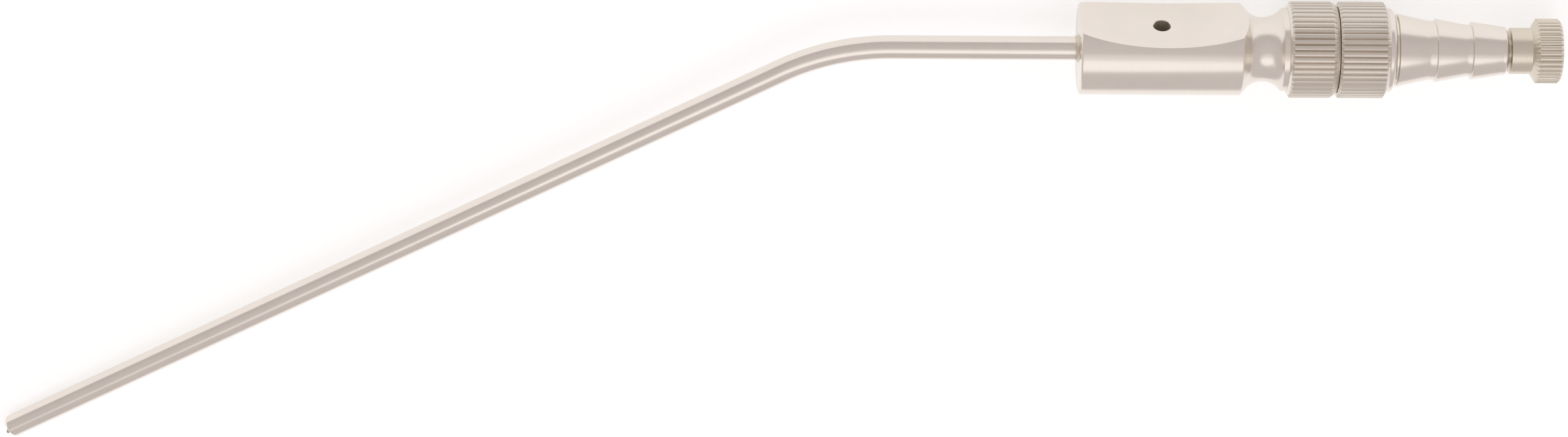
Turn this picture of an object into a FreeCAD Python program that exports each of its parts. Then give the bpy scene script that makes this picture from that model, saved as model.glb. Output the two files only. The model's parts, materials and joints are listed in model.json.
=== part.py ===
import FreeCAD, Part

import math
import os

# Suction tube with a screwed hose connector and a cleaning stylet, in millimetres.
# It lies on its side as it comes to rest. The handle's axis is X, with the hose end at +X,
# the thumb rest faces +Y, and the tube bends towards -Y.
# Places along the handle are counted from its front face, where the tube comes out.

# Suction tube
tube_od = 3.0
tube_wall = 0.3
tube_seat_depth = 6.5
tube_straight = 23.5
bend_angle = math.radians(31.5)
bend_radius = 26.3
tube_long_run = 120.2
tip_lip_radius = 0.55

# Solder round the tube's root
solder_spread = 0.36
solder_length = 0.45
solder_edge = 0.05

# Handle, body with its thumb rest and vent hole
body_r = 5.81
body_length = 20.3
body_front_edge = 0.2
body_rear_chamfer_r = 4.8
thumb_rest_floor = 3.75
thumb_rest_radius = 50.0
thumb_rest_x = 10.9
vent_r = 1.07
vent_x = 10.3

# Handle, neck between the body and the first collar
neck_x = 23.15
neck_r = 4.04
neck_arc_radius = 2.9
shoulder_r = 5.25
shoulder_length = 0.65

# Knurled collars, one on the handle and one on the connector
collar_r = 6.07
collar_step_r = 5.4
collar_rise_length = 0.49
handle_collar_length = 6.29
handle_collar_taper = 0.82
handle_collar_seam_r = 5.5
connector_collar_length = 6.35
connector_collar_chamfer = 0.3
connector_collar_taper = 0.55
collar_teeth = 48
collar_knurl_depth = 0.28
knurl_groove_share = 0.45
knurl_end_land = 0.04

# Screw joint between the collars
thread_major_r = 4.0
thread_pitch = 1.0
thread_turns = 5.0
thread_relief_length = 0.4
thread_relief_depth = 0.62
socket_mouth_chamfer = 0.3
collar_seam = 0.05
nose_r = 2.5
nose_length = 0.9
seal_thickness = 1.0
seal_r = 3.9

# Hose end of the connector
connector_bore_r = 1.65
ring_length = 0.5
ring_taper = 0.35
ring_end_r = 4.7
groove_r = 4.2
groove_length = 0.3
barb_tip_radii = [4.6, 4.0, 3.65]
barb_root_radii = [3.72, 3.26, 3.05]
barb_cone_lengths = [3.95, 3.85, 3.85]
barb_land_lengths = [0.8, 0.6, 0.65]
barb_step = 0.1
barb_end_chamfer = 0.3

# Stylet
stylet_gap = 0.4
stub_r = 2.91
stub_length = 2.6
knob_r = 4.09
knob_cone_length = 0.75
knob_length = 3.0
knob_end_chamfer = 0.37
knob_teeth = 36
knob_knurl_depth = 0.22
plug_length = 8.0
wire_r = 0.225
wire_hold_depth = 4.0
wire_reach = 0.9
wire_kink_angle = math.radians(45.0)
wire_kink_radius = 1.1
wire_kink_length = 0.5

# Clearances
solder_gap = 0.02
thread_clearance = 0.05
seal_clearance = 0.05
plug_clearance = 0.03
wire_clearance = 0.015

# Places and sizes that follow from these
tube_r = tube_od / 2
tube_bore_r = tube_r - tube_wall
neck_centre_r = neck_r + neck_arc_radius
shoulder_end = neck_x + math.sqrt(neck_arc_radius**2 - (neck_centre_r - shoulder_r) ** 2) + shoulder_length
handle_band_x = shoulder_end + collar_rise_length
joint_x = shoulder_end + handle_collar_length
handle_band_end_x = joint_x - handle_collar_taper
spigot_r = thread_major_r - thread_clearance
spigot_length = thread_turns * thread_pitch + thread_relief_length
collar_face_x = joint_x + collar_seam
spigot_x = collar_face_x - spigot_length
socket_bottom_x = spigot_x - seal_thickness
connector_band_x = collar_face_x + connector_collar_chamfer
collar_end_x = collar_face_x + connector_collar_length
connector_band_end_x = collar_end_x - connector_collar_taper
groove_x = collar_end_x + ring_length + ring_taper
barbs_x = groove_x + groove_length
barb_lengths = [barb_step + cone + land for cone, land in zip(barb_cone_lengths, barb_land_lengths)]
connector_end_x = barbs_x + sum(barb_lengths)
stub_x = connector_end_x + stylet_gap
knob_x = stub_x + stub_length
knob_band_x = knob_x + knob_cone_length
knob_end_x = knob_band_x + knob_length
knob_band_end_x = knob_end_x - knob_end_chamfer
plug_x = stub_x - plug_length
plug_r = connector_bore_r - plug_clearance
wire_end_x = plug_x + wire_hold_depth

ORIGIN = FreeCAD.Vector(0, 0, 0)
X_AXIS = FreeCAD.Vector(1, 0, 0)
Y_AXIS = FreeCAD.Vector(0, 1, 0)
Z_AXIS = FreeCAD.Vector(0, 0, 1)


def at(x, r):
    """Point of a profile, at x along the axis and r away from it."""
    return FreeCAD.Vector(x, r, 0)


def chain(*corners):
    """Straight edges from each corner to the next."""
    return [Part.LineSegment(at(*a), at(*b)).toShape() for a, b in zip(corners, corners[1:])]


def arc(start, middle, end):
    """Arc through three points of a profile."""
    return Part.Arc(at(*start), at(*middle), at(*end)).toShape()


def turned(edges):
    """Solid turned about the X axis from the edges of a closed profile."""
    return Part.Face(Part.Wire(edges)).revolve(ORIGIN, X_AXIS, 360)


def rod(radius, start, end):
    """Cylinder on the X axis."""
    return Part.makeCylinder(radius, end - start, at(start, 0), X_AXIS)


def turned_copy(shape, angle):
    """Copy of a shape, turned about the X axis by an angle in degrees."""
    copy = shape.copy()
    copy.rotate(ORIGIN, X_AXIS, angle)
    return copy


def knurl_grooves(teeth, crest_r, depth, band_start, band_end):
    """V cutters for a straight knurl, twice as deep as its grooves so that they stand out of the crest."""
    groove_half_width = math.pi * crest_r / teeth * knurl_groove_share
    start = band_start + knurl_end_land
    floor = FreeCAD.Vector(start, crest_r - depth, 0)
    sides = [
        FreeCAD.Vector(start, crest_r + depth, hand * 2 * groove_half_width) for hand in (-1, 1)
    ]
    profile = Part.Face(Part.makePolygon([floor, *sides, floor]))
    cutter = profile.extrude(X_AXIS * (band_end - knurl_end_land - start))
    return Part.makeCompound([turned_copy(cutter, 360 * tooth / teeth) for tooth in range(teeth)])


def heading(angle):
    """Way that the tube runs once it has turned by an angle."""
    return FreeCAD.Vector(-math.cos(angle), -math.sin(angle), 0)


def inside_of_bend(angle):
    """Way to the inside of the bend, square to the heading."""
    return FreeCAD.Vector(math.sin(angle), -math.cos(angle), 0)


def route(start, steps):
    """Straight runs, each followed by a tangent arc. Returns the line, its end point and its last heading angle."""
    edges = []
    here = start
    angle = 0.0
    for length, turn, radius in steps:
        there = here + heading(angle) * length
        edges.append(Part.LineSegment(here, there).toShape())
        here = there
        if turn:
            centre = here + inside_of_bend(angle) * radius
            middle = centre - inside_of_bend(angle + turn / 2) * radius
            here = centre - inside_of_bend(angle + turn) * radius
            edges.append(Part.Arc(there, middle, here).toShape())
            angle += turn
    return Part.Wire(edges), here, angle


def swept(radius, line):
    """Round bar along a line that starts on the handle's axis."""
    section = Part.Wire(Part.makeCircle(radius, line.Vertexes[0].Point, X_AXIS))
    return line.makePipeShell([section], True, True)


def tip_lip():
    """Rim of the tip, rolled in with a round edge. It points along -X, with its root at x = 0."""
    lip_bore_r = tube_r - tip_lip_radius
    fold_x = tube_wall - tip_lip_radius
    half = math.sqrt(0.5)
    edges = chain((0, tube_bore_r), (0, tube_r))
    edges.append(
        arc(
            (0, tube_r),
            (-tip_lip_radius * half, lip_bore_r + tip_lip_radius * half),
            (-tip_lip_radius, lip_bore_r),
        )
    )
    edges += chain((-tip_lip_radius, lip_bore_r), (fold_x, lip_bore_r), (0, tube_bore_r))
    return turned(edges)


def suction_tube():
    """Thin tube from its seat in the handle, round the bend to the tip."""
    line, end, angle = route(
        at(tube_seat_depth, 0),
        [(tube_seat_depth + tube_straight, bend_angle, bend_radius), (tube_long_run, 0, 0)],
    )
    lip = tip_lip()
    lip.rotate(ORIGIN, Z_AXIS, math.degrees(angle))
    lip.translate(end)
    wall = swept(tube_r, line).cut(swept(tube_bore_r, line))
    return wall.fuse(lip).removeSplitter()


def tube_solder():
    """Cone of solder between the tube and the handle's front face."""
    thin_r = tube_r + solder_edge
    outer_r = tube_r + solder_spread
    thin_end = (-solder_length, thin_r)
    return turned(chain(thin_end, (-solder_length, tube_r), (0, tube_r), (0, outer_r), thin_end))


def handle_profile():
    """Outside of the handle, from the front face to the collar's rear face."""
    rear_drop = neck_centre_r - body_rear_chamfer_r
    neck_start = (neck_x - math.sqrt(neck_arc_radius**2 - rear_drop**2), body_rear_chamfer_r)
    neck_end = (shoulder_end - shoulder_length, shoulder_r)
    edges = chain(
        (0, 0),
        (0, body_r - body_front_edge),
        (body_front_edge, body_r),
        (body_length, body_r),
        neck_start,
    )
    edges.append(arc(neck_start, (neck_x, neck_r), neck_end))
    edges += chain(
        neck_end,
        (shoulder_end, shoulder_r),
        (shoulder_end, collar_step_r),
        (handle_band_x, collar_r),
        (handle_band_end_x, collar_r),
        (joint_x, handle_collar_seam_r),
        (joint_x, 0),
        (0, 0),
    )
    return edges


def thumb_rest_cutter():
    """Large cylinder that cuts the hollow for the thumb across the body."""
    centre_y = thumb_rest_floor + thumb_rest_radius
    start = FreeCAD.Vector(thumb_rest_x, centre_y, -2 * body_r)
    return Part.makeCylinder(thumb_rest_radius, 4 * body_r, start, Z_AXIS)


def handle_grip():
    """Turned handle with the tube's seat, the airway, the vent hole and the threaded socket."""
    mouth = [
        (joint_x - socket_mouth_chamfer, 0),
        (joint_x - socket_mouth_chamfer, thread_major_r),
        (joint_x, thread_major_r + socket_mouth_chamfer),
        (joint_x, 0),
        (joint_x - socket_mouth_chamfer, 0),
    ]
    cutters = [
        thumb_rest_cutter(),
        Part.makeCylinder(vent_r, body_r, at(vent_x, 0), Y_AXIS),
        rod(tube_r + solder_gap, 0, tube_seat_depth),
        rod(tube_bore_r, tube_seat_depth, socket_bottom_x),
        rod(thread_major_r, socket_bottom_x, joint_x),
        turned(chain(*mouth)),
        knurl_grooves(collar_teeth, collar_r, collar_knurl_depth, handle_band_x, handle_band_end_x),
    ]
    grip = turned(handle_profile())
    for cutter in cutters:
        grip = grip.cut(cutter)
    return grip


def connector_seal():
    """Flat ring on the connector's nose, against the bottom of the socket."""
    return rod(seal_r, socket_bottom_x, spigot_x).cut(
        rod(nose_r + seal_clearance, socket_bottom_x, spigot_x)
    )


def barb_corners():
    """Corners of the hose barbs, each a step up, a long cone and a short land."""
    corners = []
    start = barbs_x
    for number, length in enumerate(barb_lengths):
        root_r = barb_root_radii[number]
        tip_x = start + barb_step
        corners += [
            (tip_x, barb_tip_radii[number]),
            (tip_x + barb_cone_lengths[number], root_r),
            (start + length, root_r),
        ]
        start += length
    return corners


def hose_connector():
    """Turned connector with its nose, spigot, collar and hose barbs."""
    relief_r = spigot_r - thread_relief_depth
    barbs = barb_corners()
    barb_end_r = barb_root_radii[-1]
    edges = chain(
        (spigot_x - nose_length, 0),
        (spigot_x - nose_length, nose_r),
        (spigot_x, nose_r),
        (spigot_x, relief_r),
        (spigot_x + spigot_r - relief_r, spigot_r),
        (collar_face_x - thread_relief_length, spigot_r),
        (collar_face_x - thread_relief_length, relief_r),
        (collar_face_x, relief_r),
        (collar_face_x, collar_r - connector_collar_chamfer),
        (connector_band_x, collar_r),
        (connector_band_end_x, collar_r),
        (collar_end_x, shoulder_r),
        (collar_end_x + ring_length, shoulder_r),
        (groove_x, ring_end_r),
        (groove_x, groove_r),
        (barbs_x, groove_r),
        *barbs[:-1],
        (connector_end_x - barb_end_chamfer, barb_end_r),
        (connector_end_x, barb_end_r - barb_end_chamfer),
        (connector_end_x, 0),
        (spigot_x - nose_length, 0),
    )
    connector = turned(edges).cut(rod(connector_bore_r, spigot_x - nose_length, connector_end_x))
    return connector.cut(
        knurl_grooves(collar_teeth, collar_r, collar_knurl_depth, connector_band_x, connector_band_end_x)
    )


def stylet_knob():
    """Knurled knob with its stub and the plug that sits in the connector's bore."""
    knob = turned(
        chain(
            (plug_x, 0),
            (plug_x, plug_r),
            (stub_x, plug_r),
            (stub_x, stub_r),
            (knob_x, stub_r),
            (knob_band_x, knob_r),
            (knob_band_end_x, knob_r),
            (knob_end_x, knob_r - knob_end_chamfer),
            (knob_end_x, 0),
            (plug_x, 0),
        )
    )
    knob = knob.cut(rod(wire_r + wire_clearance, plug_x, wire_end_x))
    return knob.cut(knurl_grooves(knob_teeth, knob_r, knob_knurl_depth, knob_band_x, knob_band_end_x))


def stylet_wire():
    """Wire from the plug along the tube's centreline, with its free end kinked out of the tip."""
    kink_reach = wire_kink_radius * math.sin(wire_kink_angle) + wire_kink_length * math.cos(wire_kink_angle)
    straight_end = tube_long_run + tip_lip_radius + wire_reach - kink_reach
    line, _, _ = route(
        at(wire_end_x, 0),
        [
            (wire_end_x + tube_straight, bend_angle, bend_radius),
            (straight_end, wire_kink_angle, wire_kink_radius),
            (wire_kink_length, 0, 0),
        ],
    )
    return swept(wire_r, line)


def resting_place(pieces):
    """Placement that rolls the part onto its collars and tip, with the origin under the middle of its box."""
    tube_reach = (bend_radius * (1 - math.cos(bend_angle))
                  + (tube_long_run + tip_lip_radius) * math.sin(bend_angle))
    roll = math.degrees(math.asin((collar_r - tube_r) / tube_reach))
    rolled = Part.makeCompound(pieces)
    rolled.rotate(ORIGIN, X_AXIS, roll)
    box = rolled.optimalBoundingBox(False, False)
    shift = FreeCAD.Vector(-box.Center.x, -box.Center.y, -box.ZMin)
    return FreeCAD.Placement(shift, FreeCAD.Rotation(X_AXIS, roll))


def main():
    pieces = {
        "suction_tube": suction_tube(),
        "tube_solder": tube_solder(),
        "handle_grip": handle_grip(),
        "connector_seal": connector_seal(),
        "hose_connector": hose_connector(),
        "stylet_knob": stylet_knob(),
        "stylet_wire": stylet_wire(),
    }
    place = resting_place(list(pieces.values()))
    os.makedirs("parts", exist_ok=True)
    for name, shape in pieces.items():
        shape.Placement = place.multiply(shape.Placement)
        shape.exportStep(f"parts/{name}.step")
        print(name, len(shape.Solids), "solids", round(shape.Volume, 2), "mm3", shape.isValid())
    print("handle front face on the axis", place.multVec(ORIGIN))


main()
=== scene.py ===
import bmesh
import bpy
import json
import math
from bpy.props import FloatProperty, FloatVectorProperty, IntProperty, PointerProperty
from mathutils import Matrix, Vector, noise
from types import SimpleNamespace


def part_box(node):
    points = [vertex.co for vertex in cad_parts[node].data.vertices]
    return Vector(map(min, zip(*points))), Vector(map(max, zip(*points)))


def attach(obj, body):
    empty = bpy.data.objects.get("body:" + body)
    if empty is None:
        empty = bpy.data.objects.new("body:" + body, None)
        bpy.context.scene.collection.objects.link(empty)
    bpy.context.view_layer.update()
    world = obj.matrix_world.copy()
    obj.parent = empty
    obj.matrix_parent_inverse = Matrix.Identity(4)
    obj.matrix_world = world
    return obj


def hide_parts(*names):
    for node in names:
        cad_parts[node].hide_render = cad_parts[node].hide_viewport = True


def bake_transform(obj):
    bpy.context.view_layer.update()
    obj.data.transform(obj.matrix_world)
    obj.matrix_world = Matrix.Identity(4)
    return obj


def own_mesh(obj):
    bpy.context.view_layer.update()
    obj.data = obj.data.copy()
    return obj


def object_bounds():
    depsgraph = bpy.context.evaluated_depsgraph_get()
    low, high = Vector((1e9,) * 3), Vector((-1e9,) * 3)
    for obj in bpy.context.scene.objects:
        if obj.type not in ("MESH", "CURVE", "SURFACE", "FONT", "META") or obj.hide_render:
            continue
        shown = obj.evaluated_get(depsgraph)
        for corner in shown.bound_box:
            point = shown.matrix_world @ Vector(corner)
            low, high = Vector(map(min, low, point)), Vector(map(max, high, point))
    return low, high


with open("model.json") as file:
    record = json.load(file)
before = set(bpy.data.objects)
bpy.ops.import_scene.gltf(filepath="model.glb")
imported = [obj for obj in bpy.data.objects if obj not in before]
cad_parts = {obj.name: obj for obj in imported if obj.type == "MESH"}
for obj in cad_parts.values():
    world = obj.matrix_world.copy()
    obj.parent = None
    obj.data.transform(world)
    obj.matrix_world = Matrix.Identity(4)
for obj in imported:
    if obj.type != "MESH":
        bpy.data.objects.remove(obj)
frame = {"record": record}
cad_box = [list(corner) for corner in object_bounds()]

# A suction tube with a vented handle, a screwed hose connector and a cleaning stylet.
# Pieces are modelled in millimetres in the handle's own frame: X runs on its axis from the front face
# to the hose end, +Y is the thumb rest's side and the tube bends towards -Y.
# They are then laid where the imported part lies, in metres.

bl_info = {
    "name": "Suction Tube",
    "version": (1, 0, 0),
    "blender": (4, 5, 0),
    "location": "3D View > Sidebar > Suction Tube",
    "description": "Builds a surgical suction tube in satin stainless steel",
    "category": "Object",
}

MM_PER_M = 1000.0
MERGE_DISTANCE = 1e-4
PHOTO_SIZE = (2421, 674)
SENSOR_WIDTH = 36.0


def mount(name):
    """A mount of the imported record."""
    return next(m for m in frame["record"]["mounts"] if m["name"] == name)


def joint_place(name):
    """A point on a joint's axis, in the row frame."""
    joints = frame["record"]["behaviour"]["joints"]
    return Vector(next(j for j in joints if j["name"] == name)["pos_m"])


RUN_WAY = Vector(mount("tube_run")["axis"])
RESTING_ROLL = math.atan2(-RUN_WAY.z, -RUN_WAY.y)
BEND_ANGLE = math.acos(-RUN_WAY.x)
FRONT_FACE = Vector((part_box("handle_grip")[0].x, *joint_place("connector_unscrew").yz))
HANDLE_PLACE = Matrix.Translation(FRONT_FACE) @ Matrix.Rotation(RESTING_ROLL, 4, "X")
MODEL_PLACE = HANDLE_PLACE @ Matrix.Scale(1 / MM_PER_M, 4)


def length(name, description, millimetres):
    """A size property, given in millimetres and kept in metres."""
    return FloatProperty(
        name=name, description=description, default=millimetres / MM_PER_M, min=0.0, precision=5, unit="LENGTH"
    )


def lengths(name, description, millimetres):
    """A property that holds one size for each of several like places."""
    return FloatVectorProperty(
        name=name, description=description, default=[value / MM_PER_M for value in millimetres],
        size=len(millimetres), precision=5, unit="LENGTH",
    )


def angle(name, description, degrees):
    """An angle property, given in degrees."""
    return FloatProperty(
        name=name, description=description, default=math.radians(degrees), subtype="ANGLE", unit="ROTATION"
    )


def half_angles(name, description, degrees):
    """A property that holds the two half angles of an oval lamp."""
    return FloatVectorProperty(
        name=name, description=description, default=[math.radians(value) for value in degrees],
        size=len(degrees), unit="ROTATION",
    )


def share(name, description, default):
    """A property without a unit, from 0 up."""
    return FloatProperty(name=name, description=description, default=default, min=0.0)


def hex_colour(name, description, code):
    """A colour property from an sRGB hex code."""
    return FloatVectorProperty(name=name, description=description, default=linear(code), size=3, subtype="COLOR")


def linear(code):
    """Linear colour of an sRGB hex code such as E6E0D5."""
    channels = [int(code[place:place + 2], 16) / 255 for place in (0, 2, 4)]
    return [c / 12.92 if c <= 0.04045 else ((c + 0.055) / 1.055) ** 2.4 for c in channels]


class TubeSizes(bpy.types.PropertyGroup):
    radius: length("Radius", "Outside of the thin tube", 1.5)
    wall: length("Wall", "Thickness of the tube's wall", 0.3)
    seat_depth: length("Seat depth", "How far the tube goes into the handle", 6.5)
    straight: length("Straight", "Tube from the handle to the bend", 23.5)
    bend_radius: length("Bend radius", "Radius of the bend on the tube's centreline", 26.3)
    long_run: length("Long run", "Tube from the bend to the rounded tip", 120.2)
    lip_radius: length("Lip radius", "Rounding of the tip's rolled rim", 0.55)
    bend_angle: angle("Bend angle", "Turn of the tube", math.degrees(BEND_ANGLE))
    solder_spread: length("Solder spread", "How far the solder reaches out on the handle's face", 0.36)
    solder_length: length("Solder length", "How far the solder creeps along the tube", 0.45)
    solder_edge: length("Solder edge", "Thickness of the solder where it ends on the tube", 0.05)


class HandleSizes(bpy.types.PropertyGroup):
    body_radius: length("Body radius", "Outside of the handle's body", 5.81)
    body_length: length("Body length", "From the front face to the rear chamfer", 20.3)
    front_edge: length("Front edge", "Chamfer of the front face", 0.2)
    rear_radius: length("Rear radius", "Small end of the body's rear chamfer", 4.8)
    rest_floor: length("Thumb rest floor", "Lowest point of the thumb rest above the axis", 3.75)
    rest_radius: length("Thumb rest radius", "Radius of the hollow for the thumb", 50.0)
    rest_x: length("Thumb rest place", "Where the hollow is deepest", 10.9)
    vent_radius: length("Vent radius", "Hole that a fingertip covers", 1.07)
    vent_x: length("Vent place", "Middle of the vent hole", 10.3)
    vent_edge: length("Vent edge", "Broken edge of the vent hole", 0.06)
    neck_x: length("Neck place", "Narrowest place of the neck", 23.15)
    neck_radius: length("Neck radius", "Radius at the narrowest place", 4.04)
    neck_arc: length("Neck arc", "Radius of the neck's hollow", 2.9)
    shoulder_radius: length("Shoulder radius", "Shoulder before the knurled collar", 5.25)
    shoulder_length: length("Shoulder length", "Length of that shoulder", 0.65)


class CollarSizes(bpy.types.PropertyGroup):
    radius: length("Radius", "Crest of the knurl", 6.07)
    step_radius: length("Step radius", "Step up from the shoulder", 5.4)
    rise: length("Rise", "Length of the handle collar's front chamfer", 0.49)
    handle_length: length("Handle collar", "From the shoulder to the seam", 6.29)
    handle_taper: length("Handle collar taper", "Length of the chamfer at the seam", 0.82)
    seam_radius: length("Seam radius", "Small end of that chamfer", 5.5)
    connector_length: length("Connector collar", "From the seam to the ring", 6.35)
    connector_chamfer: length("Connector chamfer", "Front chamfer of the connector's collar", 0.3)
    connector_taper: length("Connector taper", "Length of its rear chamfer", 0.55)
    teeth: IntProperty(name="Teeth", description="Ridges round each collar", default=48, min=3)
    knurl_depth: length("Knurl depth", "Depth of the grooves", 0.28)
    knurl_crown: length("Knurl crown", "Rounding of the ridges", 0.1)
    knurl_groove: share("Knurl groove", "Half of a groove's share of the pitch", 0.2)


class ScrewSizes(bpy.types.PropertyGroup):
    radius: length("Thread radius", "Largest radius of the screw thread", 4.0)
    pitch: length("Pitch", "Rise of the thread in one turn", 1.0)
    turns: IntProperty(name="Turns", description="Turns that hold the connector", default=5, min=1)
    relief: length("Relief", "Plain neck between the thread and the collar", 0.4)
    clearance: length("Clearance", "Gap between spigot and socket", 0.05)
    mouth: length("Mouth", "Chamfer of the socket", 0.3)
    seam: length("Seam", "Gap between the collars", 0.05)
    nose_radius: length("Nose radius", "Plain end that carries the seal", 2.5)
    nose_length: length("Nose length", "Length of that end", 0.9)
    seal: length("Seal", "Thickness of the seal ring", 1.0)


class ConnectorSizes(bpy.types.PropertyGroup):
    bore: length("Bore", "Radius of the airway", 1.65)
    ring_length: length("Ring", "Plain ring behind the collar", 0.5)
    ring_taper: length("Ring taper", "Length over which the ring slopes down", 0.35)
    ring_end_radius: length("Ring end", "Small end of that slope", 4.7)
    groove_radius: length("Groove radius", "Groove before the barbs", 4.2)
    groove_length: length("Groove length", "Length of that groove", 0.3)
    barb_tips: lengths("Barb tips", "Largest radius of each barb", (4.6, 4.0, 3.65))
    barb_roots: lengths("Barb roots", "Smallest radius of each barb", (3.72, 3.26, 3.05))
    barb_cones: lengths("Barb cones", "Length of each barb's cone", (3.95, 3.85, 3.85))
    barb_lands: lengths("Barb lands", "Plain length after each cone", (0.8, 0.6, 0.65))
    barb_step: length("Barb step", "Length over which each barb steps up", 0.1)
    end_chamfer: length("End chamfer", "Chamfer of the hose end", 0.3)


class StyletSizes(bpy.types.PropertyGroup):
    gap: length("Gap", "Between the connector and the stylet's stub", 0.4)
    stub_radius: length("Stub radius", "Plain part before the knob", 2.91)
    stub_length: length("Stub length", "Length of that part", 2.6)
    knob_radius: length("Knob radius", "Crest of the knob's knurl", 4.09)
    knob_cone: length("Knob cone", "Length of the cone up to the knob", 0.75)
    knob_length: length("Knob length", "Knob without its cone", 3.0)
    knob_chamfer: length("Knob chamfer", "Chamfer of the knob's end", 0.37)
    knob_teeth: IntProperty(name="Knob teeth", description="Ridges round the knob", default=36, min=3)
    knurl_depth: length("Knurl depth", "Depth of the knob's grooves", 0.22)
    knurl_crown: length("Knurl crown", "Rounding of the ridges", 0.13)
    knurl_groove: share("Knurl groove", "Half of a groove's share of the pitch", 0.2)
    plug_length: length("Plug length", "Plug that sits in the connector's bore", 8.0)
    plug_clearance: length("Plug clearance", "Gap round the plug", 0.03)
    wire_radius: length("Wire radius", "Radius of the cleaning wire", 0.225)
    wire_clearance: length("Wire clearance", "Gap round the wire in the plug", 0.015)
    hold_depth: length("Hold depth", "How far the wire goes into the plug", 4.0)
    reach: length("Reach", "How far the wire stands out of the tip", 0.9)
    kink_angle: angle("Kink angle", "Turn of the wire's free end", 45.0)
    kink_radius: length("Kink radius", "Radius of that turn", 1.1)
    kink_length: length("Kink length", "Straight wire after the kink", 0.5)


class FinishSettings(bpy.types.PropertyGroup):
    steel: hex_colour("Steel", "Satin stainless steel of the handle", "EAE3DA")
    tube: hex_colour("Tube", "Drawn stainless steel of the tube", "E9E2D9")
    knurl: hex_colour("Knurls", "Steel of the knurled collars", "DCD4C9")
    knob: hex_colour("Knob", "Turned steel of the knob", "DDD5C6")
    solder: hex_colour("Solder", "Silver solder at the tube's root", "D8CFBC")
    wire: hex_colour("Wire", "Spring wire of the stylet", "B5B1A8")
    seal: hex_colour("Seal", "White fluoropolymer", "ECEAE4")
    floor: hex_colour("Floor", "Matt white table", "D8D8D8")
    roughness: FloatProperty(
        name="Roughness", description="Roughness of the satin steel", default=0.22, min=0.0, max=1.0, subtype="FACTOR"
    )


class StageSettings(bpy.types.PropertyGroup):
    lens: FloatProperty(
        name="Lens", description="Focal length in millimetres", default=113.0, min=1.0, unit="CAMERA"
    )
    distance: FloatProperty(
        name="Distance", description="Camera to the handle's front face", default=0.6201, min=0.01, unit="LENGTH"
    )
    tilt: angle("Tilt", "Camera turned over the handle's axis", 41.51)
    turn: angle("Turn", "Camera turned to the side", 0.93)
    roll: angle("Roll", "Camera rolled about its view", 0.31)
    front_face: FloatVectorProperty(
        name="Front face",
        description="Pixel of the photograph at the front face's middle",
        default=(1665.2, 74.4),
        size=2,
    )
    surround: hex_colour("Surround", "Light grey walls round the table", "D5CFCF")
    lamp_distance: FloatProperty(
        name="Lamp distance", description="Height of the lamps over the part", default=1.0, min=0.1, unit="LENGTH"
    )
    broad_reach: half_angles("Broad lamp", "Reach of the broad overhead lamp along and across the part", (34.0, 23.0))
    broad_lean: angle("Broad lean", "Lean of the broad lamp past the zenith", 2.0)
    broad_light: share("Broad light", "Brightness that the broad lamp adds to the surround", 0.2)
    narrow_reach: half_angles("Narrow lamp", "Reach of the narrow lamp inside it", (30.0, 15.0))
    narrow_lean: angle("Narrow lean", "Lean of the narrow lamp past the zenith", 8.0)
    narrow_light: share("Narrow light", "Brightness that the narrow lamp adds", 0.3)
    run_reach: half_angles("Run lamp", "Reach of the lamp that lights the tube's long run", (10.0, 8.0))
    run_lean: angle("Run lean", "Lean of the run lamp past the zenith", 19.0)
    run_swing: angle("Run swing", "Swing of the run lamp to the tip's side", 31.0)
    run_light: share("Run light", "Brightness that the run lamp adds", 0.2)
    near_shade: share("Near shade", "Brightness of the surround near the horizon before the part", 0.88)
    floor_glow: share("Floor glow", "Added to the floor's own light where the camera or metal sees it", 0.54)
    floor_size: FloatProperty(name="Floor size", description="Side of the table", default=8.0, unit="LENGTH")


def in_mm(group):
    """Values of a property group, with its lengths in millimetres."""
    values = {}
    for name in group.__annotations__:
        value = getattr(group, name)
        if group.bl_rna.properties[name].unit == "LENGTH":
            value = value * MM_PER_M if isinstance(value, float) else [part * MM_PER_M for part in value]
        values[name] = value
    return SimpleNamespace(**values)


def places():
    """Places along the handle's axis that follow from the sizes."""
    scene = bpy.context.scene
    handle, collar, screw = in_mm(scene.handle_sizes), in_mm(scene.collar_sizes), in_mm(scene.screw_sizes)
    connector, stylet = in_mm(scene.connector_sizes), in_mm(scene.stylet_sizes)
    at = SimpleNamespace()
    arc_centre = handle.neck_radius + handle.neck_arc
    at.neck_start = handle.neck_x - math.sqrt(handle.neck_arc**2 - (arc_centre - handle.rear_radius) ** 2)
    at.neck_end = handle.neck_x + math.sqrt(handle.neck_arc**2 - (arc_centre - handle.shoulder_radius) ** 2)
    at.shoulder_end = at.neck_end + handle.shoulder_length
    at.joint = at.shoulder_end + collar.handle_length
    at.collar_face = at.joint + screw.seam
    at.spigot = at.collar_face - screw.turns * screw.pitch - screw.relief
    at.socket_bottom = at.spigot - screw.seal
    at.collar_end = at.collar_face + collar.connector_length
    at.groove = at.collar_end + connector.ring_length + connector.ring_taper
    at.barbs = at.groove + connector.groove_length
    barbs = zip(connector.barb_cones, connector.barb_lands)
    at.connector_end = at.barbs + sum(connector.barb_step + cone + land for cone, land in barbs)
    at.stub = at.connector_end + stylet.gap
    at.knob = at.stub + stylet.stub_length
    at.knob_end = at.knob + stylet.knob_cone + stylet.knob_length
    at.plug = at.stub - stylet.plug_length
    at.wire_end = at.plug + stylet.hold_depth
    return at


# Modelling

BODY_COLUMNS_PER_TOOTH = 10
TUBE_COLUMNS = 64
WIRE_COLUMNS = 24
BEND_ROW = 0.4
KINK_ROW = 0.1
ROUNDING_STEPS = 3
KNURLED = 1
DRILLED = 2


def add_object(name, data):
    """New object in the scene."""
    made = bpy.data.objects.new(name, data)
    bpy.context.collection.objects.link(made)
    return made


def add_mesh(name, mesh):
    """New object of a bmesh, which is used up."""
    data = bpy.data.meshes.new(name)
    mesh.to_mesh(data)
    mesh.free()
    return add_object(name, data)


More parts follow.
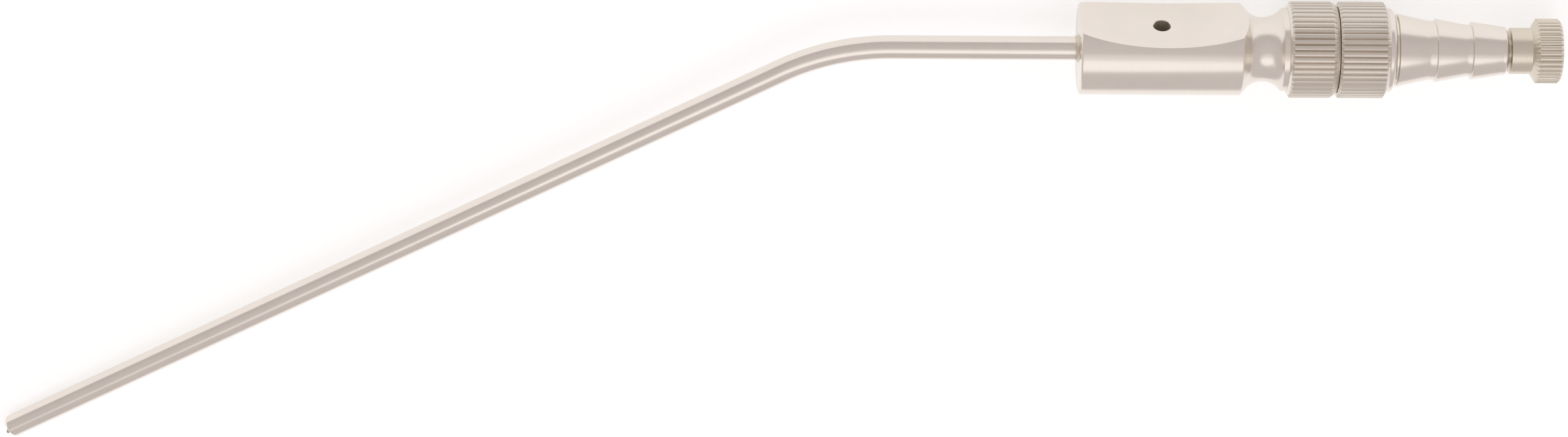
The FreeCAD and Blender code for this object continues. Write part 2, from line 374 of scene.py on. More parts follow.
def turned(profile, columns):
    """Mesh turned about the X axis. A point of the profile is x, r and, if its corner is rounded, the cut back."""
    mesh = bmesh.new()
    corners = [mesh.verts.new((x, r, 0)) for x, r, *_ in profile]
    for pair in zip(corners, corners[1:]):
        mesh.edges.new(pair)
    for corner, (_, _, *rounding) in zip(corners, profile):
        if rounding:
            bmesh.ops.bevel(
                mesh, geom=[corner], offset=rounding[0], segments=ROUNDING_STEPS, profile=0.5, affect="VERTICES",
                material=-1,
            )
    geometry = mesh.verts[:] + mesh.edges[:]
    bmesh.ops.spin(mesh, geom=geometry, cent=(0, 0, 0), axis=(1, 0, 0), angle=math.tau, steps=columns, use_merge=True)
    bmesh.ops.remove_doubles(mesh, verts=mesh.verts, dist=MERGE_DISTANCE)
    bmesh.ops.recalc_face_normals(mesh, faces=mesh.faces)
    return mesh


def rod(radius, start, end, columns):
    """Closed cylinder on the X axis."""
    return turned([(start, 0), (start, radius), (end, radius), (end, 0)], columns)


def neck_arc(handle, start, end, steps):
    """Points of the neck's hollow, from x = start to x = end."""
    first = math.asin((start - handle.neck_x) / handle.neck_arc)
    last = math.asin((end - handle.neck_x) / handle.neck_arc)
    centre = handle.neck_radius + handle.neck_arc
    angles = [first + (last - first) * step / steps for step in range(steps + 1)]
    return [(handle.neck_x + handle.neck_arc * math.sin(a), centre - handle.neck_arc * math.cos(a)) for a in angles]


def crossing(low, crest, root):
    """Share of a chamfer, from its low end, at which it crosses the knurl's root."""
    return (root - low) / (crest - low)


def knurl(mesh, teeth, crest, depth, crown, groove, start, end):
    """Presses straight grooves into what stands above their floor. Groove is half of one's share of the pitch."""
    unevenness = 0.06
    for vert in mesh.verts:
        radius = math.hypot(vert.co.y, vert.co.z)
        if not start < vert.co.x < end or radius < crest - depth:
            continue
        angle = math.atan2(vert.co.z, vert.co.y)
        turn = angle * teeth / math.tau
        off = abs(turn - round(turn))
        tooth_noise = noise.noise(Vector((math.cos(angle), math.sin(angle), 0)) * teeth / 4)
        cut = max(0.0, 1 - off / groove) * (depth - crown) * (1 + unevenness * (tooth_noise - 1))
        wanted = crest - cut - crown * (1 - 2 * off) ** 2
        if wanted < radius:
            vert.co.yz = vert.co.yz * (wanted / radius)


def mark(mesh, finish, inside):
    """Gives the faces that are inside a zone the finish of that number. Inside takes a face's centre and its r."""
    for face in mesh.faces:
        centre = face.calc_center_median()
        if inside(centre, math.hypot(centre.y, centre.z)):
            face.material_index = finish


def combined(mesh, others, operation):
    """The mesh after each of the others is cut from it or joined to it."""
    solid = add_mesh("blank", mesh)
    tools = [add_mesh("cutter", other) for other in others]
    for tool in tools:
        modifier = solid.modifiers.new("combine", "BOOLEAN")
        modifier.operation = operation
        modifier.solver = "EXACT"
        modifier.object = tool
    bpy.context.view_layer.update()
    result = bmesh.new()
    result.from_object(solid, bpy.context.evaluated_depsgraph_get())
    for spent in [solid, *tools]:
        bpy.data.objects.remove(spent)
    bmesh.ops.remove_doubles(result, verts=result.verts, dist=MERGE_DISTANCE)
    return result


def finished(mesh, name, finish, body, node, sharp=32.0):
    """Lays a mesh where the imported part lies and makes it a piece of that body, in place of the CAD node."""
    mesh.transform(MODEL_PLACE)
    piece = add_mesh(name, mesh)
    piece.data.shade_smooth()
    piece.data.set_sharp_from_angle(angle=math.radians(sharp))
    piece.data.materials.append(finish)
    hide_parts(node)
    if body:
        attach(piece, body)
    return piece


def heading(angle):
    """Way that a bar runs once it has turned by an angle. It starts along -X."""
    return Vector((-math.cos(angle), -math.sin(angle), 0))


def inside_of_bend(angle):
    """Way to the inside of the bend, square to the heading."""
    return Vector((math.sin(angle), -math.cos(angle), 0))


def bend_along(mesh, start, route):
    """Bends a straight bar that runs from x = start along -X. The route is (run, turn, radius) for each run."""
    for vert in mesh.verts:
        left = start - vert.co.x
        here = Vector((start, 0, 0))
        angle = 0.0
        for run, turn, radius in route:
            here += heading(angle) * min(left, run)
            left -= min(left, run)
            if left <= 0 or not turn:
                break
            swing = min(turn, left / radius)
            here += (inside_of_bend(angle) - inside_of_bend(angle + swing)) * radius
            angle += swing
            left -= swing * radius
        here += heading(angle) * left - inside_of_bend(angle) * vert.co.y
        vert.co = Vector((here.x, here.y, vert.co.z))


def bar_rows(start, route, spacing):
    """Places where a bent bar needs a row of its mesh: at each end of a run, and closely along each turn."""
    rows = [start]
    for run, turn, radius in route:
        rows.append(rows[-1] - run)
        steps = math.ceil(turn * radius / spacing)
        arc_start = rows[-1]
        rows += [arc_start - turn * radius * (step + 1) / steps for step in range(steps)]
    return rows


def quarter_round(x, centre, radius):
    """Points of the rounding of a tube's end, from the tube's side to its tip."""
    steps = 8
    turns = [math.pi / 2 * step / steps for step in range(steps + 1)]
    return [(x - radius * math.sin(turn), centre + radius * math.cos(turn)) for turn in turns]


def tube_mesh(tube):
    """Thin tube with its rolled rim, bent."""
    start = tube.seat_depth
    route = [(start + tube.straight, tube.bend_angle, tube.bend_radius), (tube.long_run, 0.0, 0.0)]
    rows = bar_rows(start, route, BEND_ROW)
    bore = tube.radius - tube.wall
    fold_centre = tube.radius - tube.lip_radius
    lip = quarter_round(rows[-1], fold_centre, tube.lip_radius)
    inside = quarter_round(rows[-1], fold_centre, tube.lip_radius - tube.wall)[::-1]
    profile = [(x, tube.radius) for x in rows[:-1]] + lip + inside + [(x, bore) for x in rows[-2::-1]]
    mesh = turned([*profile, profile[0]], TUBE_COLUMNS)
    bend_along(mesh, start, route)
    return mesh


def solder_mesh(tube):
    """Bead of solder at the tube's root, hollow like a fillet and a little uneven."""
    steps = 8
    edge_radius = tube.radius + tube.solder_edge
    rise = tube.solder_spread - tube.solder_edge
    parts = [step / steps for step in range(steps + 1)]
    outside = [(-tube.solder_length * part, edge_radius + rise * (1 - part) ** 2) for part in parts]
    mesh = turned([(0, tube.radius), *outside, (-tube.solder_length, tube.radius), (0, tube.radius)], TUBE_COLUMNS)
    unevenness = 0.1
    waves_per_mm = 1.5
    for vert in mesh.verts:
        reach = math.hypot(vert.co.y, vert.co.z) - tube.radius
        if reach > tube.solder_edge / 2 and vert.co.x < 0:
            vert.co.x *= 1 + unevenness * (noise.noise(vert.co * waves_per_mm) - 1)
    return mesh


def handle_blank(handle, collar, at):
    """Turned outside of the handle, with the collar's knurl."""
    edge = 0.05
    neck_steps = 28
    root = collar.radius - collar.knurl_depth
    rise_share = crossing(collar.step_radius, collar.radius, root)
    fall_share = crossing(collar.seam_radius, collar.radius, root)
    profile = [
        (0, 0),
        (0, handle.body_radius - handle.front_edge, edge),
        (handle.front_edge, handle.body_radius, edge),
        (handle.body_length, handle.body_radius, 2 * edge),
        *neck_arc(handle, at.neck_start, at.neck_end, neck_steps),
        (at.shoulder_end, handle.shoulder_radius),
        (at.shoulder_end, collar.step_radius, edge),
        (at.shoulder_end + collar.rise * rise_share, root),
        (at.shoulder_end + collar.rise, collar.radius),
        (at.joint - collar.handle_taper, collar.radius),
        (at.joint - collar.handle_taper * fall_share, root),
        (at.joint, collar.seam_radius, edge),
        (at.joint, 0),
    ]
    blank = turned(profile, collar.teeth * BODY_COLUMNS_PER_TOOTH)
    knurl(
        blank, collar.teeth, collar.radius, collar.knurl_depth, collar.knurl_crown, collar.knurl_groove,
        at.shoulder_end, at.joint,
    )
    return blank


def thumb_rest_cutter(handle, at):
    """Block whose underside is the hollow for the thumb."""
    steps = 96
    overhang = 1.0
    reach = 2 * handle.body_radius
    centre = Vector((handle.rest_x, handle.rest_floor + handle.rest_radius, -handle.body_radius - overhang))
    first = math.asin((-overhang - handle.rest_x) / handle.rest_radius)
    last = math.asin((at.neck_end - handle.rest_x) / handle.rest_radius)
    mesh = bmesh.new()
    begin = mesh.verts.new(centre + handle.rest_radius * Vector((math.sin(first), -math.cos(first), 0)))
    bmesh.ops.spin(
        mesh, geom=[begin], cent=centre, axis=(0, 0, 1), angle=last - first, steps=steps, use_merge=False
    )
    bottom = mesh.edges[:]
    ends = [vert for vert in mesh.verts if len(vert.link_edges) == 1]
    low, high = sorted(ends, key=lambda vert: vert.co.x)
    lid = [mesh.verts.new((vert.co.x, handle.rest_floor + reach, vert.co.z)) for vert in (low, high)]
    outline = bottom + [mesh.edges.new(pair) for pair in ((low, lid[0]), (lid[0], lid[1]), (lid[1], high))]
    face = bmesh.ops.contextual_create(mesh, geom=outline)["faces"]
    sides = bmesh.ops.extrude_face_region(mesh, geom=face)["geom"]
    moved = [part for part in sides if isinstance(part, bmesh.types.BMVert)]
    bmesh.ops.translate(mesh, verts=moved, vec=(0, 0, 2 * (handle.body_radius + overhang)))
    bmesh.ops.recalc_face_normals(mesh, faces=mesh.faces)
    return mesh


def vent_cutter(handle):
    """Drill for the vent hole, with the countersink that breaks its edge."""
    columns = 64
    sink = handle.rest_floor - handle.vent_edge
    sink_length = 3 * handle.vent_edge
    top = 2 * handle.body_radius
    profile = [
        (0, 0),
        (0, handle.vent_radius),
        (sink, handle.vent_radius),
        (sink + sink_length, handle.vent_radius + sink_length),
        (top, handle.vent_radius + sink_length),
        (top, 0),
    ]
    mesh = turned(profile, columns)
    bmesh.ops.rotate(mesh, verts=mesh.verts, cent=(0, 0, 0), matrix=Matrix.Rotation(math.pi / 2, 3, "Z"))
    bmesh.ops.translate(mesh, verts=mesh.verts, vec=(handle.vent_x, 0, 0))
    return mesh


def thread(start, end, root, crest, pitch):
    """Solid screw with a flat-crested V thread between two places on the axis."""
    steps = 48
    overrun = 2
    crest_flat, root_flat = pitch / 8, pitch / 4
    flank = (pitch - crest_flat - root_flat) / 2
    turns = math.ceil((end - start) / pitch) + overrun
    first = start - pitch * (1 + overrun / 2)
    rise_end = root_flat + flank
    corners = [(0, root), (root_flat, root), (rise_end, crest), (rise_end + crest_flat, crest), (pitch, root)]
    mesh = bmesh.new()
    points = [mesh.verts.new((first + x, r, 0)) for x, r in corners]
    edges = [mesh.edges.new(pair) for pair in zip(points, points[1:])]
    bmesh.ops.spin(
        mesh, geom=points + edges, cent=(0, 0, 0), axis=(1, 0, 0), dvec=(pitch / steps, 0, 0),
        angle=math.tau * (turns + 1), steps=steps * (turns + 1), use_merge=False,
    )
    bmesh.ops.remove_doubles(mesh, verts=mesh.verts, dist=MERGE_DISTANCE)
    for place, way in ((start, -1), (end, 1)):
        whole = mesh.verts[:] + mesh.edges[:] + mesh.faces[:]
        cut = bmesh.ops.bisect_plane(
            mesh, geom=whole, plane_co=(place, 0, 0), plane_no=(way, 0, 0), clear_outer=True
        )["geom_cut"]
        rim = [part for part in cut if isinstance(part, bmesh.types.BMEdge)]
        bmesh.ops.contextual_create(mesh, geom=rim)
    bmesh.ops.recalc_face_normals(mesh, faces=mesh.faces)
    return mesh


def thread_radii(screw, clearance):
    """Root and crest radius of the thread, made smaller all round by a clearance."""
    depth_per_pitch = 0.61
    crest = screw.radius - clearance
    return crest - depth_per_pitch * screw.pitch, crest


def handle_mesh(tube, handle, collar, screw, at):
    """Handle with its thumb rest, vent, airway, tube seat and threaded socket."""
    columns = 96
    mouth_start, mouth_end = at.joint - screw.mouth, at.joint + screw.mouth
    mouth_radius = screw.radius + 2 * screw.mouth
    mouth = turned(
        [(mouth_start, 0), (mouth_start, screw.radius), (mouth_end, mouth_radius), (mouth_end, 0)], columns
    )
    overrun = 0.2
    cutters = [
        thumb_rest_cutter(handle, at),
        vent_cutter(handle),
        rod(tube.radius, -overrun, tube.seat_depth, columns),
        rod(tube.radius - tube.wall, 0, at.socket_bottom + overrun, columns),
        rod(screw.radius, at.socket_bottom, at.spigot + overrun, columns),
        thread(at.spigot, at.joint, *thread_radii(screw, 0), screw.pitch),
        mouth,
    ]
    mesh = combined(handle_blank(handle, collar, at), cutters, "DIFFERENCE")
    knurl_floor = collar.radius - collar.knurl_depth - collar.knurl_crown / 4
    vent_top = handle.rest_floor - 2 * handle.vent_edge
    mark(mesh, KNURLED, lambda centre, r: at.shoulder_end < centre.x < at.joint and r > knurl_floor)
    mark(mesh, DRILLED, lambda centre, r: 0 < centre.x < at.socket_bottom and r < tube.radius)
    mark(
        mesh, DRILLED,
        lambda centre, r: math.hypot(centre.x - handle.vent_x, centre.z) < handle.vent_radius
        and 0 < centre.y < vent_top,
    )
    return mesh


def barb_points(connector, at):
    """Corners of the hose barbs, each a step up, a long cone and a short land."""
    edge = 0.04
    points = []
    start = at.barbs
    sizes = zip(connector.barb_tips, connector.barb_roots, connector.barb_cones, connector.barb_lands)
    for tip, root, cone, land in sizes:
        tip_x = start + connector.barb_step
        start = tip_x + cone + land
        points += [(tip_x, tip, edge), (tip_x + cone, root, 4 * edge), (start, root)]
    return points


def connector_mesh(handle, collar, screw, connector, at):
    """Connector with its nose, thread, knurled collar, barbs and bore."""
    edge = 0.05
    root = collar.radius - collar.knurl_depth
    end_radius = connector.barb_roots[-1]
    thread_root, thread_crest = thread_radii(screw, screw.clearance)
    fall_share = crossing(handle.shoulder_radius, collar.radius, root)
    profile = [
        (at.spigot - screw.nose_length, 0),
        (at.spigot - screw.nose_length, screw.nose_radius, 2 * edge),
        (at.spigot, screw.nose_radius),
        (at.spigot, thread_root - edge),
        (at.collar_face, thread_root - edge),
        (at.collar_face, collar.radius - collar.connector_chamfer),
        (at.collar_face + collar.connector_chamfer - collar.knurl_depth, root),
        (at.collar_face + collar.connector_chamfer, collar.radius),
        (at.collar_end - collar.connector_taper, collar.radius),
        (at.collar_end - collar.connector_taper * fall_share, root),
        (at.collar_end, handle.shoulder_radius, edge),
        (at.collar_end + connector.ring_length, handle.shoulder_radius, 3 * edge),
        (at.groove, connector.ring_end_radius, edge),
        (at.groove, connector.groove_radius),
        (at.barbs, connector.groove_radius),
        *barb_points(connector, at)[:-1],
        (at.connector_end - connector.end_chamfer, end_radius, edge),
        (at.connector_end, end_radius - connector.end_chamfer, edge),
        (at.connector_end, 0),
    ]
    blank = turned(profile, collar.teeth * BODY_COLUMNS_PER_TOOTH)
    knurl(
        blank, collar.teeth, collar.radius, collar.knurl_depth, collar.knurl_crown, collar.knurl_groove,
        at.collar_face, at.collar_end,
    )
    screw_end = at.collar_face - screw.relief
    threaded = combined(blank, [thread(at.spigot, screw_end, thread_root, thread_crest, screw.pitch)], "UNION")
    overrun = 0.2
    bore = rod(connector.bore, at.spigot - screw.nose_length - overrun, at.connector_end + overrun, TUBE_COLUMNS)
    mesh = combined(threaded, [bore], "DIFFERENCE")
    knurl_floor = collar.radius - collar.knurl_depth - collar.knurl_crown / 4
    mark(mesh, KNURLED, lambda centre, r: at.collar_face < centre.x < at.collar_end and r > knurl_floor)
    return mesh


def seal_mesh(screw, at):
    """Flat ring on the connector's nose, with broken edges, that passes through the socket's thread."""
    edge = 0.12
    thread_bore, _ = thread_radii(screw, 0)
    inside, outside = screw.nose_radius + screw.clearance, thread_bore - screw.clearance
    corners = [(at.socket_bottom, inside), (at.socket_bottom, outside), (at.spigot, outside), (at.spigot, inside)]
    middle = (at.spigot - screw.seal / 2, inside)
    return turned([middle, *((x, r, edge) for x, r in corners), middle], TUBE_COLUMNS)


def knob_mesh(connector, stylet, at):
    """Stylet's knob with its stub and plug, drilled for the wire."""
    edge = 0.05
    root = stylet.knob_radius - stylet.knurl_depth
    plug = connector.bore - stylet.plug_clearance
    rise_share = crossing(stylet.stub_radius, stylet.knob_radius, root)
    hole = stylet.wire_radius + stylet.wire_clearance
    profile = [
        (at.wire_end, 0),
        (at.wire_end, hole),
        (at.plug, hole),
        (at.plug, plug, 3 * edge),
        (at.stub, plug),
        (at.stub, stylet.stub_radius, edge),
        (at.knob, stylet.stub_radius),
        (at.knob + stylet.knob_cone * rise_share, root),
        (at.knob + stylet.knob_cone, stylet.knob_radius),
        (at.knob_end - stylet.knob_chamfer, stylet.knob_radius),
        (at.knob_end - stylet.knob_chamfer + stylet.knurl_depth, root),
        (at.knob_end, stylet.knob_radius - stylet.knob_chamfer, edge),
        (at.knob_end, 0),
    ]
    mesh = turned(profile, stylet.knob_teeth * BODY_COLUMNS_PER_TOOTH)
    knurl(
        mesh, stylet.knob_teeth, stylet.knob_radius, stylet.knurl_depth, stylet.knurl_crown, stylet.knurl_groove,
        at.knob, at.knob_end,
    )
    return mesh


def wire_mesh(stylet, first, last, route, start):
    """Stretch of the stylet's wire between two places on its unbent length, bent along the route."""
    rounding = stylet.wire_radius / 3
    rows = [x for x in bar_rows(start, route, KINK_ROW) if last < x < first]
    side = [(x, stylet.wire_radius) for x in (first, *rows)]
    mesh = turned([(first, 0), *side, (last, stylet.wire_radius, rounding), (last, 0)], WIRE_COLUMNS)
    bend_along(mesh, start, route)
    return mesh


# Materials


def add_node(tree, kind, inputs=None, **settings):
    """Adds a node. Settings are its own properties, and each input gets a value or a link."""
    made = tree.nodes.new(kind)
    for name, value in settings.items():
        setattr(made, name, value)
    for name, value in (inputs or {}).items():
        if isinstance(value, bpy.types.NodeSocket):
            tree.links.new(value, made.inputs[name])
        else:
            made.inputs[name].default_value = value
    return made


def new_material(name):
    """Empty node material, its tree and its output."""
    material = bpy.data.materials.new(name)
    material.use_nodes = True
    material.node_tree.nodes.clear()
    return material, material.node_tree, add_node(material.node_tree, "ShaderNodeOutputMaterial")


def metal(name, colour, roughness, grain, depth):
    """Metal with a fine grain. Grain is its size along X, Y and Z in metres, and depth its height."""
    material, tree, output = new_material(name)
    place = add_node(tree, "ShaderNodeTexCoord")
    stretched = add_node(
        tree, "ShaderNodeMapping", {"Vector": place.outputs["Object"], "Scale": [1 / size for size in grain]}
    )
    fine = add_node(tree, "ShaderNodeTexNoise", {"Vector": stretched.outputs["Vector"], "Scale": 1.0, "Detail": 3.0})
    cloud_size = 0.004
    cloud = add_node(
        tree, "ShaderNodeTexNoise", {"Vector": place.outputs["Object"], "Scale": 1 / cloud_size, "Detail": 2.0}
    )
    rough = add_node(tree, "ShaderNodeMapRange", {
        "Value": fine.outputs["Fac"], "From Min": 0.3, "From Max": 0.7,
        "To Min": roughness * 0.85, "To Max": roughness * 1.2,
    })
    shade = add_node(tree, "ShaderNodeMapRange", {"Value": cloud.outputs["Fac"], "To Min": 0.96, "To Max": 1.03})
    tone = add_node(tree, "ShaderNodeHueSaturation", {"Color": (*colour, 1.0), "Value": shade.outputs["Result"]})
    relief = add_node(tree, "ShaderNodeBump", {"Height": fine.outputs["Fac"], "Strength": 0.35, "Distance": depth})
    shader = add_node(tree, "ShaderNodeBsdfPrincipled", {
        "Base Color": tone.outputs["Color"], "Metallic": 1.0, "Roughness": rough.outputs["Result"],
        "Normal": relief.outputs["Normal"],
    })
    tree.links.new(shader.outputs["BSDF"], output.inputs["Surface"])
    return material


def satin_steel(finish):
    """Stainless steel, turned and satin finished: it blurs reflections softly, a little more along the axis."""
    return metal("satin_stainless_steel", finish.steel, finish.roughness, (0.00006, 0.0006, 0.0006), 0.000001)


def drawn_steel(finish):
    """Stainless tube, drawn and polished along its length: smooth, with faint long streaks."""
    return metal("drawn_stainless_tube", finish.tube, finish.roughness * 0.9, (0.0012, 0.00008, 0.00008), 0.0000008)


def knurled_steel(finish):
    """Stainless steel as the knurling tool leaves it: a little darker and yellower, and rougher."""
    return metal("knurled_stainless_steel", finish.knurl, finish.roughness * 1.5, (0.0004, 0.0001, 0.0001), 0.0000006)


def turned_steel(finish):
    """Stainless steel as it leaves the lathe: a little yellower and rougher than the handle."""
    return metal("turned_stainless_steel", finish.knob, finish.roughness * 1.3, (0.0002, 0.0002, 0.0002), 0.0000004)


def drilled_steel(finish):
    """Stainless steel as the drill leaves it, inside the vent: matt, so that it shows light from its mouth."""
    return metal("drilled_stainless_steel", finish.knob, 0.6, (0.0003, 0.00004, 0.0003), 0.000002)


def silver_solder(finish):
    """Silver solder, cooled from liquid: softer and yellower than the steel."""
    return metal("silver_solder", finish.solder, finish.roughness * 1.6, (0.0002, 0.0002, 0.0002), 0.000004)


def spring_wire(finish):
    """Hard drawn stainless spring wire: bright, with die marks along it."""
    return metal("stainless_spring_wire", finish.wire, finish.roughness * 1.5, (0.001, 0.00005, 0.00005), 0.0000008)


def seal_plastic(finish):
    """White PTFE, cut from a rod: waxy and matt, with a little light in its surface."""
    material, tree, output = new_material("ptfe")
    place = add_node(tree, "ShaderNodeTexCoord")
    grain = 0.0003
    fine = add_node(tree, "ShaderNodeTexNoise", {"Vector": place.outputs["Object"], "Scale": 1 / grain})
    relief = add_node(tree, "ShaderNodeBump", {"Height": fine.outputs["Fac"], "Strength": 0.2, "Distance": 0.00001})
    shader = add_node(tree, "ShaderNodeBsdfPrincipled", {
        "Base Color": (*finish.seal, 1.0), "Roughness": 0.55, "IOR": 1.35, "Normal": relief.outputs["Normal"],
    })
    tree.links.new(shader.outputs["BSDF"], output.inputs["Surface"])
    return material


def table_white(finish, stage):
    """Matt white table. It glows a little where the camera or the metal sees it, and keeps its shadows."""
    material, tree, output = new_material("matt_white_table")
    seen = add_node(tree, "ShaderNodeLightPath")
    camera_or_glossy = add_node(
        tree, "ShaderNodeMath", {0: seen.outputs["Is Camera Ray"], 1: seen.outputs["Is Glossy Ray"]}, operation="ADD"
    )
    seen_at_all = add_node(
        tree, "ShaderNodeMath", {0: camera_or_glossy.outputs[0], 1: seen.outputs["Is Transmission Ray"]},
        operation="ADD", use_clamp=True,
    )
    strength = add_node(
        tree, "ShaderNodeMath", {0: seen_at_all.outputs[0], 1: stage.floor_glow}, operation="MULTIPLY"
    )
    matt = add_node(tree, "ShaderNodeBsdfDiffuse", {"Color": (*finish.floor, 1.0)})
    glow = add_node(tree, "ShaderNodeEmission", {"Strength": strength.outputs[0]})
    both = add_node(tree, "ShaderNodeAddShader", {0: matt.outputs[0], 1: glow.outputs[0]})
    tree.links.new(both.outputs[0], output.inputs["Surface"])
    return material


# Stage


def add_lamp(name, lean, swing, reach, radiance, distance, target):
    """Soft oval lamp overhead that leans to -Y and swings to -X. Reach is its half angles as the part sees it."""
    lamp = bpy.data.lights.new(name, "AREA")
    lamp.shape = "ELLIPSE"
    lamp.size, lamp.size_y = (2 * distance * math.tan(angle) for angle in reach)
    lamp.energy = radiance * math.pi * (math.pi * lamp.size * lamp.size_y / 4)
    facing = Matrix.Rotation(-swing, 4, "Y") @ Matrix.Rotation(lean, 4, "X")
    add_object(name, lamp).matrix_world = Matrix.Translation(target) @ facing @ Matrix.Translation((0, 0, distance))


def add_camera(stage):
    """Camera where the photograph was taken from."""
    camera = bpy.data.cameras.new("camera")
    camera.lens = stage.lens
    camera.sensor_width = SENSOR_WIDTH
    camera.clip_start = stage.distance / 100
    pixels_per_metre_at_front = stage.lens / SENSOR_WIDTH * PHOTO_SIZE[0] / stage.distance
    right = (stage.front_face[0] - PHOTO_SIZE[0] / 2) / pixels_per_metre_at_front
    down = (stage.front_face[1] - PHOTO_SIZE[1] / 2) / pixels_per_metre_at_front
    tilted = Matrix.Rotation(-stage.tilt, 4, "X") @ Matrix.Rotation(-stage.turn, 4, "Y")
    turned_view = tilted @ Matrix.Rotation(stage.roll, 4, "Z")
    camera_object = add_object("camera", camera)
    camera_object.matrix_world = HANDLE_PLACE @ turned_view @ Matrix.Translation((-right, down, stage.distance))
    bpy.context.scene.camera = camera_object


def surround_world(stage):
    """Light grey walls, a little darker near the horizon on the thumb rest's side."""
    world = bpy.data.worlds.new("surround")
    world.use_nodes = True
    tree = world.node_tree
    tree.nodes.clear()
    way = add_node(tree, "ShaderNodeTexCoord")
    parts = add_node(tree, "ShaderNodeSeparateXYZ", {"Vector": way.outputs["Generated"]})
    low = add_node(tree, "ShaderNodeMapRange", {"Value": parts.outputs["Z"], "From Min": 0.75, "From Max": 0.1})
    in_front = add_node(tree, "ShaderNodeMapRange", {"Value": parts.outputs["Y"], "From Min": 0.0, "From Max": 0.4})
    near_front = add_node(
        tree, "ShaderNodeMath", {0: low.outputs["Result"], 1: in_front.outputs["Result"]}, operation="MULTIPLY"
    )
    strength = add_node(
        tree, "ShaderNodeMapRange", {"Value": near_front.outputs[0], "To Min": 1.0, "To Max": stage.near_shade}
    )
    background = add_node(
        tree, "ShaderNodeBackground", {"Color": (*stage.surround, 1.0), "Strength": strength.outputs["Result"]}
    )
    output = add_node(tree, "ShaderNodeOutputWorld")
    tree.links.new(background.outputs[0], output.inputs["Surface"])
    return world


class SUCTION_OT_stage(bpy.types.Operator):
    """Adds the white table, the camera, the lamps and the grey surround"""

    bl_idname = "suction.stage"
    bl_label = "Add Stage"

    def execute(self, context):
        stage, finish = context.scene.stage_settings, context.scene.finish_settings
        context.scene.view_settings.view_transform = "Standard"
        mesh = bmesh.new()
        bmesh.ops.create_grid(mesh, x_segments=1, y_segments=1, size=stage.floor_size / 2)
        table = add_mesh("table", mesh)
        table.data.materials.append(table_white(finish, stage))
        add_camera(stage)
        middle = Vector((0, 0, cad_box[1][2] / 2))
        for name, swing in (("broad", 0.0), ("narrow", 0.0), ("run", stage.run_swing)):
            lean, reach, light = (getattr(stage, f"{name}_{part}") for part in ("lean", "reach", "light"))
            add_lamp(f"{name}_lamp", lean, swing, reach, light, stage.lamp_distance, middle)
        context.scene.world = surround_world(stage)
        return {"FINISHED"}


class SUCTION_OT_tube(bpy.types.Operator):
    """Adds the bent tube and the solder at its root"""

    bl_idname = "suction.tube"
    bl_label = "Add Tube"

    def execute(self, context):
        tube, finish = in_mm(context.scene.tube_sizes), context.scene.finish_settings
        finished(tube_mesh(tube), "tube", drawn_steel(finish), "handle", "suction_tube")
        finished(solder_mesh(tube), "solder", silver_solder(finish), "handle", "tube_solder")
        return {"FINISHED"}


class SUCTION_OT_handle(bpy.types.Operator):
    """Adds the handle with its thumb rest, vent and knurled collar"""

    bl_idname = "suction.handle"
    bl_label = "Add Handle"

    def execute(self, context):
        scene = context.scene
        mesh = handle_mesh(
            in_mm(scene.tube_sizes), in_mm(scene.handle_sizes), in_mm(scene.collar_sizes), in_mm(scene.screw_sizes),
            places(),
        )
        finish = scene.finish_settings
        piece = finished(mesh, "handle", satin_steel(finish), "handle", "handle_grip", sharp=18.0)
        piece.data.materials.append(knurled_steel(finish))
        piece.data.materials.append(drilled_steel(finish))
        return {"FINISHED"}


class SUCTION_OT_connector(bpy.types.Operator):
    """Adds the hose connector and the seal ring on its nose"""

    bl_idname = "suction.connector"
    bl_label = "Add Connector"

    def execute(self, context):
        scene = context.scene
        mesh = connector_mesh(
            in_mm(scene.handle_sizes), in_mm(scene.collar_sizes), in_mm(scene.screw_sizes),
            in_mm(scene.connector_sizes), places(),
        )
        finish = scene.finish_settings
        piece = finished(mesh, "connector", satin_steel(finish), "connector", "hose_connector")
        piece.data.materials.append(knurled_steel(finish))
        seal = seal_mesh(in_mm(scene.screw_sizes), places())
        finished(seal, "seal", seal_plastic(finish), "seal", "connector_seal")
        return {"FINISHED"}


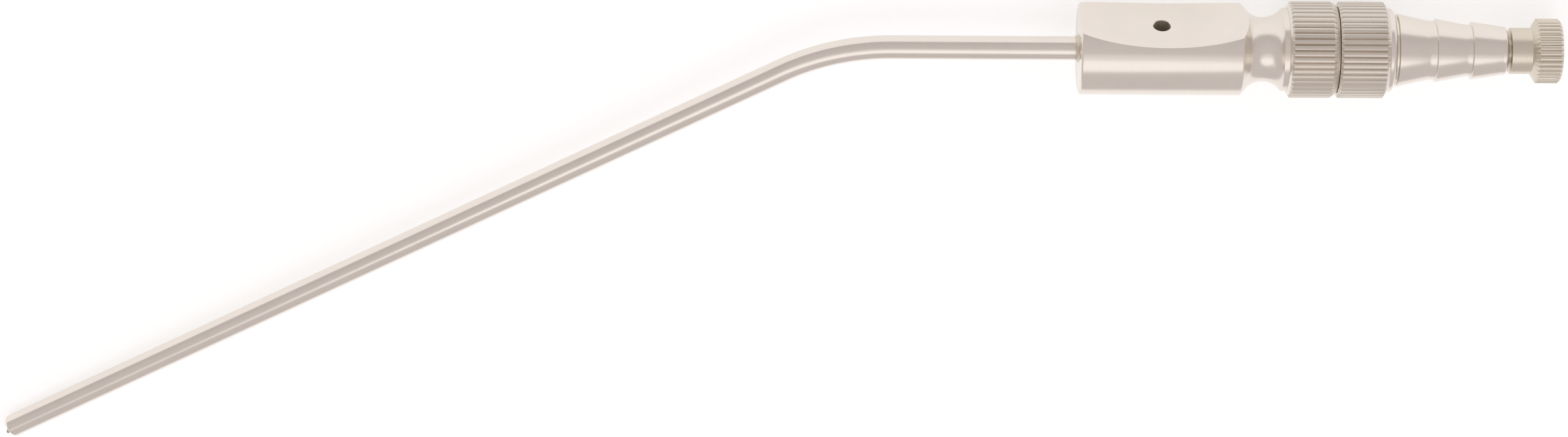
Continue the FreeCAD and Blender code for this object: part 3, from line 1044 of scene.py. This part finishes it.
class SUCTION_OT_stylet(bpy.types.Operator):
    """Adds the stylet's knob and its wire"""

    bl_idname = "suction.stylet"
    bl_label = "Add Stylet"

    def execute(self, context):
        scene = context.scene
        tube, stylet, at = in_mm(scene.tube_sizes), in_mm(scene.stylet_sizes), places()
        knob = knob_mesh(in_mm(scene.connector_sizes), stylet, at)
        finished(knob, "knob", turned_steel(scene.finish_settings), "knob", "stylet_knob")
        self.add_wire(tube, stylet, at, spring_wire(scene.finish_settings))
        return {"FINISHED"}

    def add_wire(self, tube, stylet, at, steel):
        """The wire in three stretches that meet inside the tube."""
        kink_reach = (
            stylet.kink_radius * math.sin(stylet.kink_angle) + stylet.kink_length * math.cos(stylet.kink_angle)
        )
        run = tube.long_run + tube.lip_radius + stylet.reach - kink_reach
        start = tube.seat_depth
        route = [
            (start + tube.straight, tube.bend_angle, tube.bend_radius),
            (run, stylet.kink_angle, stylet.kink_radius),
            (stylet.kink_length, 0.0, 0.0),
        ]
        overlap = 6.0
        bend_start = -tube.straight
        bend_end = bend_start - tube.bend_angle * tube.bend_radius
        tip = bend_end - run - stylet.kink_angle * stylet.kink_radius - stylet.kink_length
        near = wire_mesh(stylet, at.wire_end - stylet.wire_clearance, bend_start, route, start)
        near_piece = finished(near, "wire_near", steel, None, "stylet_wire")
        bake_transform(near_piece)
        bend = wire_mesh(stylet, bend_start + overlap, bend_end - overlap, route, start)
        finished(bend, "wire_bend", steel, "handle", "stylet_wire")
        far = wire_mesh(stylet, bend_end, tip, route, start)
        far_piece = finished(far, "wire_far", steel, "handle", "stylet_wire")
        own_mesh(far_piece)


class SUCTION_PT_panel(bpy.types.Panel):
    """Lists the steps that build the suction tube"""

    bl_idname = "SUCTION_PT_panel"
    bl_label = "Suction Tube"
    bl_space_type = "VIEW_3D"
    bl_region_type = "UI"
    bl_category = "Suction Tube"

    def draw(self, context):
        for step in STEPS:
            self.layout.operator(step.bl_idname)
        for name in GROUPS:
            group = getattr(context.scene, name)
            box = self.layout.box()
            for value in group.__annotations__:
                box.prop(group, value)


STEPS = (SUCTION_OT_stage, SUCTION_OT_tube, SUCTION_OT_handle, SUCTION_OT_connector, SUCTION_OT_stylet)
GROUPS = {
    "tube_sizes": TubeSizes,
    "handle_sizes": HandleSizes,
    "collar_sizes": CollarSizes,
    "screw_sizes": ScrewSizes,
    "connector_sizes": ConnectorSizes,
    "stylet_sizes": StyletSizes,
    "finish_settings": FinishSettings,
    "stage_settings": StageSettings,
}


def register():
    for group in GROUPS.values():
        bpy.utils.register_class(group)
    for name, group in GROUPS.items():
        setattr(bpy.types.Scene, name, PointerProperty(type=group))
    for step in (*STEPS, SUCTION_PT_panel):
        bpy.utils.register_class(step)


def unregister():
    for step in (SUCTION_PT_panel, *reversed(STEPS)):
        bpy.utils.unregister_class(step)
    for name in GROUPS:
        delattr(bpy.types.Scene, name)
    for group in reversed(GROUPS.values()):
        bpy.utils.unregister_class(group)


def main():
    register()
    bpy.ops.suction.stage()
    bpy.ops.suction.tube()
    bpy.ops.suction.handle()
    bpy.ops.suction.connector()
    bpy.ops.suction.stylet()


if __name__ == "__main__":
    main()
